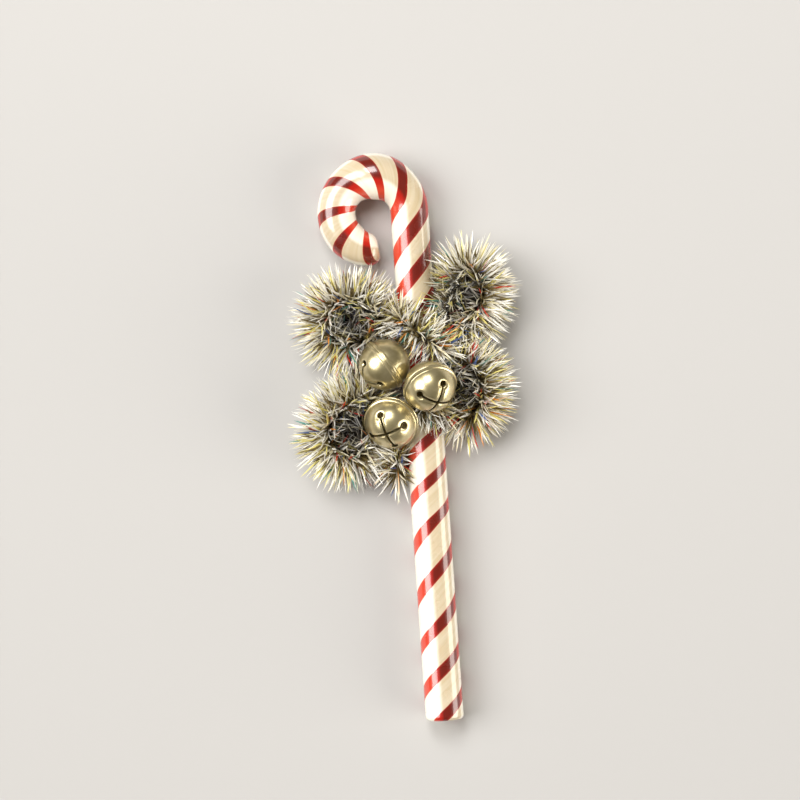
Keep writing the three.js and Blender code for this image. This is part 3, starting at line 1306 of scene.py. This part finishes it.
@dataclass
class Arch:
    """The path of a strand that lies over the stick."""

    cane: CandyCane
    below: Pair
    start: float
    end: float
    clear: float

    def __call__(self, shares: np.ndarray) -> np.ndarray:
        """Gives points of the path.

        Args:
            shares: Shares of the way from start to end.

        Returns:
            The points, in the layout's millimetres.
        """
        reach = self.cane.shaft_radius + self.clear
        angles = np.radians(self.start + (self.end - self.start) * shares)
        first, last = (self.cane.shaft_point(below) for below in self.below)
        middle = first + shares[:, None] * (last - first)
        lean = self.cane.lean
        across = reach * np.cos(angles)
        height = self.cane.axis_height(self.cane.shaft_radius) + reach * np.sin(angles)
        beside = across[:, None] * (math.cos(lean), math.sin(lean))
        return np.column_stack((middle + beside, height))


@dataclass
class StraightEnd:
    """The path of a loose end that runs straight."""

    start: Triple
    end: Triple

    def __call__(self, shares: np.ndarray) -> np.ndarray:
        """Gives points of the path."""
        start, end = np.array(self.start), np.array(self.end)
        return start + shares[:, None] * (end - start)


class Draw(Enum):
    """What is drawn at random for each filament, with its place among the seeds."""

    FAN = 1
    SLANT = 2
    LENGTH = 3
    SPIN = 4
    WIDTH = 5
    TINT = 6
    CURL = 7


@dataclass
class FoilBrush:
    """The node tree that sets filaments along a path and stops them at what is in the way."""

    tree: bpy.types.NodeTree = field(init=False)
    sheet: NodeSheet = field(init=False)
    given: Outputs = field(init=False)
    place: Wire = field(init=False)
    width_range: Pair = (0.65, 1.35)
    undercoat_shorter: float = 0.25
    inward_from: float = 0.1
    inward_full: float = 0.8
    short_of_next: float = 0.01
    inputs: tuple[tuple[str, str], ...] = (
        ("Geometry", "Geometry"),
        ("Count", "Int"),
        ("Length", "Float"),
        ("Spread", "Float"),
        ("Lean", "Float"),
        ("Fan from", "Float"),
        ("Fan to", "Float"),
        ("Fan bias", "Float"),
        ("Hub shade", "Float"),
        ("Width", "Float"),
        ("Shortest", "Float"),
        ("Clearance", "Float"),
        ("Seed", "Int"),
        ("In the way", "Object"),
        ("Filaments", "Collection"),
        ("Material", "Material"),
    )

    def __post_init__(self) -> None:
        """Writes the tree, from its named inputs to its output."""
        self.tree = bpy.data.node_groups.new("foil_brush", "GeometryNodeTree")
        sockets = self.tree.interface
        for name, kind in self.inputs:
            sockets.new_socket(name=name, in_out="INPUT", socket_type=f"NodeSocket{kind}")
        sockets.new_socket(name="Geometry", in_out="OUTPUT", socket_type="NodeSocketGeometry")
        self.sheet = NodeSheet(self.tree)
        self.given = self.sheet.node("NodeGroupInput")
        self.place = self.sheet.node("GeometryNodeInputPosition")["Position"]

        curve = self.sheet.node("GeometryNodeMeshToCurve", {}, {"Mesh": self.given["Geometry"]})
        along = {"Curve": curve["Curve"], "Count": self.given["Count"]}
        points = self.sheet.node("GeometryNodeCurveToPoints", {"mode": "COUNT"}, along)
        angle = self.angle()
        tint = self.drawn(0.0, 1.0, Draw.TINT)
        way = self.way(points["Tangent"], angle)
        length = self.free_length(way, tint)
        tinted_and_shaded = self.tinted_and_shaded(points["Points"], tint, angle)
        planted = self.planted(tinted_and_shaded, length, self.rotation(way))
        dressed = {"Geometry": self.kept_up(planted), "Material": self.given["Material"]}
        coated = self.sheet.node("GeometryNodeSetMaterial", {}, dressed)
        self.sheet.node("NodeGroupOutput", {}, {"Geometry": coated["Geometry"]})

    def drawn(self, low: float, high: float, draw: Draw) -> Wire:
        """Draws a value for each filament.

        Args:
            low: The least value.
            high: The greatest value.
            draw: What it is drawn for.

        Returns:
            The values.
        """
        sockets = {"Min": low, "Max": high, "Seed": self.given["Seed"] + float(draw.value)}
        return self.sheet.node("FunctionNodeRandomValue", {"data_type": "FLOAT"}, sockets)["Value"]

    def angle(self) -> Wire:
        """Gives the angle at which each filament stands.

        Returns:
            The angle about the path, from its side up.
        """
        fanned = self.drawn(0.0, 1.0, Draw.FAN).math("POWER", self.given["Fan bias"])
        first, last = self.given["Fan from"], self.given["Fan to"]
        return first + (last - first) * fanned

    def way(self, along: Wire, angle: Wire) -> Wire:
        """Gives the direction of each filament.

        Args:
            along: The path's direction.
            angle: The filament's angle about the path.

        Returns:
            The direction, one unit long.
        """
        side = along.vector("CROSS_PRODUCT", UPWARD).vector("NORMALIZE")
        over = side.vector("CROSS_PRODUCT", along)
        sideways = side.vector("SCALE", angle.math("COSINE"))
        raised = over.vector("SCALE", angle.math("SINE"))
        slanted = along.vector("SCALE", self.drawn(-1.0, 1.0, Draw.SLANT) * self.given["Lean"])
        return sideways.vector("ADD", raised).vector("ADD", slanted).vector("NORMALIZE")

    def free_length(self, way: Wire, tint: Wire) -> Wire:
        """Gives the length of each filament, which ends short of what is in the way.

        Args:
            way: The filament's direction.
            tint: Its tint, which tells the shorter undercoat.

        Returns:
            The length.
        """
        undercoat = tint.math("GREATER_THAN", UNDERCOAT_FROM) * self.undercoat_shorter
        uneven = self.drawn(-1.0, 1.0, Draw.LENGTH) * self.given["Spread"] + 1.0
        wanted = self.given["Length"] * (uneven - undercoat)
        named = {"Object": self.given["In the way"]}
        blockers = self.sheet.node("GeometryNodeObjectInfo", {}, named)
        ahead = {
            "Target Geometry": blockers["Geometry"],
            "Source Position": self.place,
            "Ray Direction": way,
            "Ray Length": wanted + self.given["Clearance"],
        }
        ray = self.sheet.node("GeometryNodeRaycast", {}, ahead)
        lengths = {
            "Switch": ray["Is Hit"],
            "False": wanted,
            "True": ray["Hit Distance"] - self.given["Clearance"],
        }
        return self.sheet.node("GeometryNodeSwitch", {"input_type": "FLOAT"}, lengths)["Output"]

    def rotation(self, way: Wire) -> Wire:
        """Turns each filament into its direction, and by any angle about it.

        Args:
            way: The filament's direction.

        Returns:
            The rotation.
        """
        settings = {"axis": "Z"}
        aligned = self.sheet.node("FunctionNodeAlignRotationToVector", settings, {"Vector": way})
        spin = {"Axis": UPWARD, "Angle": self.drawn(0.0, FULL_TURN, Draw.SPIN)}
        about = self.sheet.node("FunctionNodeAxisAngleToRotation", {}, spin)["Rotation"]
        both = {"Rotation": aligned["Rotation"], "Rotate By": about}
        settings = {"rotation_space": "LOCAL"}
        return self.sheet.node("FunctionNodeRotateRotation", settings, both)["Rotation"]

    def tinted_and_shaded(self, points: Wire, tint: Wire, angle: Wire) -> Wire:
        """Stores what the filaments' finish reads.

        Args:
            points: The filaments' roots.
            tint: Each one's tint.
            angle: Its angle about the path. The more it points into a loop, the more painted shade
                it gets.

        Returns:
            The roots with their values.
        """
        # Painted shade: the more a filament points into a loop, the darker it is stored, as a
        # loop's hub lies in shadow.
        inward = (angle.math("COSINE") * -1.0).step(self.inward_from, self.inward_full)
        settings = {"data_type": "FLOAT", "domain": "POINT"}
        for name, value in (("tint", tint), ("shade", inward * self.given["Hub shade"])):
            sockets = {"Geometry": points, "Name": name, "Value": value}
            stored = self.sheet.node("GeometryNodeStoreNamedAttribute", settings, sockets)
            points = stored["Geometry"]
        return points

    def planted(self, points: Wire, length: Wire, rotation: Wire) -> Wire:
        """Sets a filament of any curl on each root, where there is room for one.

        Args:
            points: The roots.
            length: The filaments' lengths.
            rotation: How they are turned.

        Returns:
            The filaments as one mesh.
        """
        kinds = {
            "Collection": self.given["Filaments"],
            "Separate Children": True,
            "Reset Children": True,
        }
        picked = self.sheet.node("GeometryNodeCollectionInfo", {}, kinds)["Instances"]
        width = self.given["Width"] * self.drawn(*self.width_range, Draw.WIDTH)
        scale = self.sheet.node("ShaderNodeCombineXYZ", {}, {"X": width, "Y": width, "Z": length})
        curl = self.drawn(0.0, len(Curl) - self.short_of_next, Draw.CURL)
        sockets = {
            "Points": points,
            "Selection": length.math("GREATER_THAN", self.given["Shortest"]),
            "Instance": picked,
            "Pick Instance": True,
            "Instance Index": curl.math("FLOOR"),
            "Rotation": rotation,
            "Scale": scale["Vector"],
        }
        set_in = self.sheet.node("GeometryNodeInstanceOnPoints", {}, sockets)
        sockets = {"Geometry": set_in["Instances"]}
        return self.sheet.node("GeometryNodeRealizeInstances", {}, sockets)["Geometry"]

    def kept_up(self, filaments: Wire) -> Wire:
        """Lifts curled tips that would reach under the floor.

        Args:
            filaments: The filaments' mesh.

        Returns:
            The mesh, none of it under the floor.
        """
        at = self.sheet.node("ShaderNodeSeparateXYZ", {}, {0: self.place})
        resting = {"X": at["X"], "Y": at["Y"], "Z": at["Z"].math("MAXIMUM", 0.0)}
        lifted = self.sheet.node("ShaderNodeCombineXYZ", {}, resting)["Vector"]
        sockets = {"Geometry": filaments, "Position": lifted}
        return self.sheet.node("GeometryNodeSetPosition", {}, sockets)["Geometry"]

    def run(self, path: bpy.types.Object, values: Mapping[str, object]) -> bpy.types.Object:
        """Sets filaments along a path.

        Args:
            path: The path, a row of edges.
            values: The tree's inputs by name.

        Returns:
            The same object, which is now the filaments' plain mesh.
        """
        setter = path.modifiers.new("foil", "NODES")
        setter.node_group = self.tree
        for socket in self.tree.interface.items_tree:
            if socket.in_out == "INPUT" and socket.name in values:
                setter[socket.identifier] = values[socket.name]
        return settled(path)


@dataclass
class TinselBow:
    """A bow of tinsel garland: twine set with thousands of pointed foil filaments.

    A fan gives the angles about a strand from where to where its foil stands, from its outer side
    up, and how much the foil keeps to the first of them.
    """

    cane: CandyCane
    origin: Vector
    width: float = 0.76
    spread: float = 0.14
    shortest: float = 2.0
    clearance: float = 0.4
    loop_fan: Triple = (math.radians(-30), math.radians(190), 1.35)
    full_fan: Triple = (0.0, FULL_TURN, 1.0)
    hub_shade: float = 0.95
    hub_radius: float = 1.3
    hub_height: float = 30.0
    hub_sides: int = 12
    floor_half: float = 500.0
    twine_radius: float = 0.55
    twine_pitch: float = 3.2
    twine_sides: int = 8
    twine_steps: int = 160
    foil_steps: int = 120
    stations: tuple[float, ...] = (0.0, 0.3, 0.6, 0.85)
    station_widths: tuple[float, ...] = (0.75, 1.0, 0.8, 0.45)
    fold: tuple[Pair, ...] = ((-0.5, -0.1), (0.5, -0.1), (0.0, 0.3))
    seed: int = 7
    seed_step: int = 100

    def strands(self) -> list[Strand]:
        """Lists the strands of the bow.

        Returns:
            The strands, in the order in which they are made.
        """
        upper_left = BowLoop((-8.6, -38.2), (7.6, 7.6), (2.5, -40.4), 0.8)
        lower_left = BowLoop((-8.6, -77.4), (7.2, 7.4), (-1.9, -65.0), -1.0)
        upper_right = BowLoop((33.0, -28.4), (5.0, 8.4), (27.0, -40.4), 1.6)
        lower_right = BowLoop((33.0, -62.8), (5.0, 8.0), (29.0, -51.4), 1.6)
        over_upper = Arch(self.cane, (36.5, 50.0), 150, 30, 1.6)
        over_lower = Arch(self.cane, (69.5, 69.5), 115, 30, 1.4)
        tail = StraightEnd((8.4, -83.6, 8.0), (8.8, -91.4, 6.4))
        return [
            Strand("tinsel_upper_left", upper_left, 1500, 13.6, upper_left.middle),
            Strand("tinsel_lower_left", lower_left, 1450, 13.6, lower_left.middle),
            Strand("tinsel_upper_right", upper_right, 1400, 13.6, upper_right.middle),
            Strand("tinsel_lower_right", lower_right, 1350, 13.6, lower_right.middle),
            Strand("tinsel_over_upper", over_upper, 800, 11.5),
            Strand("tinsel_over_lower", over_lower, 420, 10.0),
            Strand("tinsel_tail", tail, 340, 12.0, lean=1.3),
        ]

    def filament(self, curl: Curl) -> bpy.types.Object:
        """Makes one folded filament, a unit wide and a unit long, that ends in a point.

        Args:
            curl: How it is bent.

        Returns:
            The filament, root down.
        """
        side, forward = curl.value
        rings = np.zeros((len(self.stations), len(self.fold), 3))
        for ring, station, width in zip(rings, self.stations, self.station_widths):
            bend = np.array((side * station**2, forward * math.sin(math.pi * station)))
            ring[:, :2] = np.array(self.fold) * width + bend
            ring[:, 2] = station
        points = np.vstack((rings.reshape(-1, 3), (side, 0.0, 1.0)))
        sides, tip = len(self.fold), len(points) - 1
        faces = lofted(rings, closed=False)[:-1]
        faces += [(tip - sides + s, tip - sides + (s + 1) % sides, tip) for s in range(sides)]
        kind = Skin(points, faces, {"reach": points[:, 2]}).linked(f"filament_{curl.name.lower()}")
        kind.data.shade_flat()
        return kind

    def filaments(self) -> bpy.types.Collection:
        """Makes one filament of each curl, to be repeated.

        Returns:
            The collection that holds them.
        """
        kinds = bpy.data.collections.new("filament_kinds")
        for curl in Curl:
            kind = self.filament(curl)
            bpy.context.scene.collection.objects.unlink(kind)
            kinds.objects.link(kind)
        return kinds

    def obstacles(self, hard: Sequence[bpy.types.Object]) -> bpy.types.Object:
        """Gathers what the filaments stop at: the stick and bells, the floor, and the hubs.

        Args:
            hard: The stick and the bells.

        Returns:
            One helper object.
        """
        copies = [put("in_the_way", thing.data.copy()) for thing in hard]
        copies.append(square(self.floor_half * MM, 0.0).linked("floor_in_the_way"))
        ring = circle(self.hub_radius, self.hub_sides)
        for strand in self.strands():
            if strand.hub is None:
                continue
            rings = np.stack((ring, ring + (0.0, 0.0, self.hub_height)))
            rings = in_frame(rings + (*strand.hub, 0.0), self.origin)
            copies.append(Skin(rings.reshape(-1, 3), lofted(rings, closed=False)).linked("hub"))
        return joined("in_the_way", copies)

    def twine(self, strand: Strand, material: bpy.types.Material) -> bpy.types.Object:
        """Twists two plies of twine along a strand.

        Args:
            strand: The strand.
            material: The twine's material.

        Returns:
            The twine.
        """
        shares, path = strand.points(self.twine_steps)
        side, over = sides_of(path, strand.closed)
        length = np.linalg.norm(np.diff(path, axis=0), axis=1).sum()
        twist = shares[:, None] * max(1, round(length / self.twine_pitch)) * FULL_TURN
        plies = []
        for start in (0.0, math.pi):
            off = np.cos(twist + start) * side + np.sin(twist + start) * over
            ply = in_frame(path + off * self.twine_radius, self.origin)
            skin = swept(ply, self.twine_radius * MM, self.twine_sides, strand.closed)
            plies.append(skin.linked("ply", material))
        return joined(strand.node + "_twine", plies)

    def foil(
        self, strand: Strand, seed: int, brush: FoilBrush, shared: Mapping[str, object]
    ) -> bpy.types.Object:
        """Sets the filaments of one strand.

        Args:
            strand: The strand.
            seed: The seed of its random values.
            brush: What sets them.
            shared: The brush's inputs that all strands share.

        Returns:
            The foil as a plain mesh.
        """
        points = in_frame(strand.points(self.foil_steps)[1], self.origin)
        edges = [(step, step + 1) for step in range(self.foil_steps - 1)]
        if strand.closed:
            edges.append((self.foil_steps - 1, 0))
        mesh = bpy.data.meshes.new(strand.node)
        mesh.from_pydata(points.tolist(), edges, [])
        path = put(strand.node + "_foil", mesh)
        first, last, bias = self.loop_fan if strand.closed else self.full_fan
        own = {
            "Count": strand.count,
            "Length": strand.length * MM,
            "Lean": strand.lean,
            "Fan from": first,
            "Fan to": last,
            "Fan bias": bias,
            "Hub shade": self.hub_shade if strand.closed else 0.0,
            "Seed": seed,
        }
        return brush.run(path, {**shared, **own})

    def build(
        self,
        foil: bpy.types.Material,
        twine: bpy.types.Material,
        hard: Sequence[bpy.types.Object],
    ) -> list[bpy.types.Object]:
        """Makes the bow.

        Args:
            foil: The filaments' material.
            twine: The twine's material.
            hard: The stick and the bells, which the filaments stop at.

        Returns:
            The finished pieces.
        """
        brush = FoilBrush()
        kinds = self.filaments()
        blockers = self.obstacles(hard)
        shared = {
            "Spread": self.spread,
            "Width": self.width * MM,
            "Shortest": self.shortest * MM,
            "Clearance": self.clearance * MM,
            "In the way": blockers,
            "Filaments": kinds,
            "Material": foil,
        }
        made = []
        for place, strand in enumerate(self.strands()):
            seed = self.seed + self.seed_step * place
            filaments = self.foil(strand, seed, brush, shared)
            core = self.twine(strand, twine)
            for piece in (filaments, core):
                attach(piece, "root")
                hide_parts(strand.node)
                made.append(piece)
        discard((blockers, *kinds.objects))
        bpy.data.collections.remove(kinds)
        bpy.data.node_groups.remove(brush.tree)
        return made


# The studio


class LampKind(Enum):
    """The sorts of light."""

    DAYLIGHT = "SUN"
    SOFTBOX = "AREA"


@dataclass(frozen=True)
class Lamp:
    """A light, and where it hangs from the middle of the view in metres."""

    name: str
    kind: LampKind
    spot: Triple
    tone: Triple
    size: float
    power: float

    def hang(self, target: Vector) -> None:
        """Hangs the light.

        Args:
            target: What it points at.
        """
        data = bpy.data.lights.new(self.name, self.kind.value)
        if self.kind is LampKind.DAYLIGHT:
            data.angle = self.size
        else:
            data.size = self.size
        data.energy = self.power
        data.color = self.tone
        lamp = put(self.name, data)
        lamp.location = target + Vector(self.spot)
        lamp.rotation_euler = Vector(self.spot).to_track_quat("Z", "Y").to_euler()


@dataclass
class Studio:
    """A pale floor, soft lights, and a camera that looks straight down."""

    origin: Vector
    lamps: tuple[Lamp, ...] = (
        Lamp(
            "key", LampKind.DAYLIGHT, (-0.7, 0.08, 0.66), (1.0, 0.985, 0.96), math.radians(42), 3.0
        ),
        Lamp(
            "fill", LampKind.DAYLIGHT, (1.1, -0.35, 0.3), (1.0, 0.95, 0.87), math.radians(48), 2.9
        ),
        Lamp("top", LampKind.SOFTBOX, (-0.3, 0.8, 1.25), (1.0, 1.0, 0.98), 0.7, 15.0),
    )
    floor_half: float = 3.0
    floor_top: float = -0.02
    floor_colour: Colour = srgb(190, 188, 186)
    floor_roughness: float = 0.9
    view_centre: Pair = (9.5, -65.5)
    view_width: float = 280.0
    view_plane: float = 8.0
    camera_height: float = 1300.0
    sensor: float = 36.0
    nearest_seen: float = 50.0
    world_colour: Colour = srgb(176, 170, 160)
    world_strength: float = 0.3

    def floor(self) -> None:
        """Lays the floor, a hair under what stands on it."""
        paper = bpy.data.materials.new("floor_paper")
        paper.use_nodes = True
        shader = paper.node_tree.nodes["Principled BSDF"]
        shader.inputs["Base Color"].default_value = self.floor_colour
        shader.inputs["Roughness"].default_value = self.floor_roughness
        square(self.floor_half, self.floor_top * MM).linked("floor", paper)

    def sky(self) -> None:
        """Gives the room its faint even light, and shows colours as they are."""
        world = bpy.data.worlds.new("studio")
        world.use_nodes = True
        background = world.node_tree.nodes["Background"]
        background.inputs["Color"].default_value = self.world_colour
        background.inputs["Strength"].default_value = self.world_strength
        bpy.context.scene.world = world
        bpy.context.scene.view_settings.view_transform = "Standard"

    def camera(self, target: Vector) -> None:
        """Sets up the camera.

        Args:
            target: What it looks at from straight above.
        """
        data = bpy.data.cameras.new("camera")
        data.sensor_width = self.sensor
        data.sensor_height = self.sensor
        data.lens = self.sensor * (self.camera_height - self.view_plane) / self.view_width
        data.clip_start = self.nearest_seen * MM
        camera = put("camera", data)
        camera.location = (target.x, target.y, self.camera_height * MM)
        bpy.context.scene.camera = camera

    def build(self) -> None:
        """Sets up the studio."""
        self.floor()
        self.sky()
        middle = self.origin + Vector((*self.view_centre, self.view_plane)) * MM
        for lamp in self.lamps:
            lamp.hang(middle)
        self.camera(middle)


def main() -> None:
    """Builds every piece, then the studio."""
    logging.basicConfig(level=logging.INFO, format="%(name)s: %(message)s")
    cane = CandyCane()
    origin = cane.origin()
    stick = cane.build(PulledSugar().material())
    bells = JingleBells(origin).build(SatinGold().material())
    hard = (stick, *bells)
    bow = TinselBow(cane, origin).build(CutFoil().material(), DarkTwine().material(), hard)
    for piece in (*hard, *bow):
        piece.data.calc_loop_triangles()
        log.info("%s has %d triangles", piece.name, len(piece.data.loop_triangles))
    Studio(origin).build()


if __name__ == "__main__":
    main()
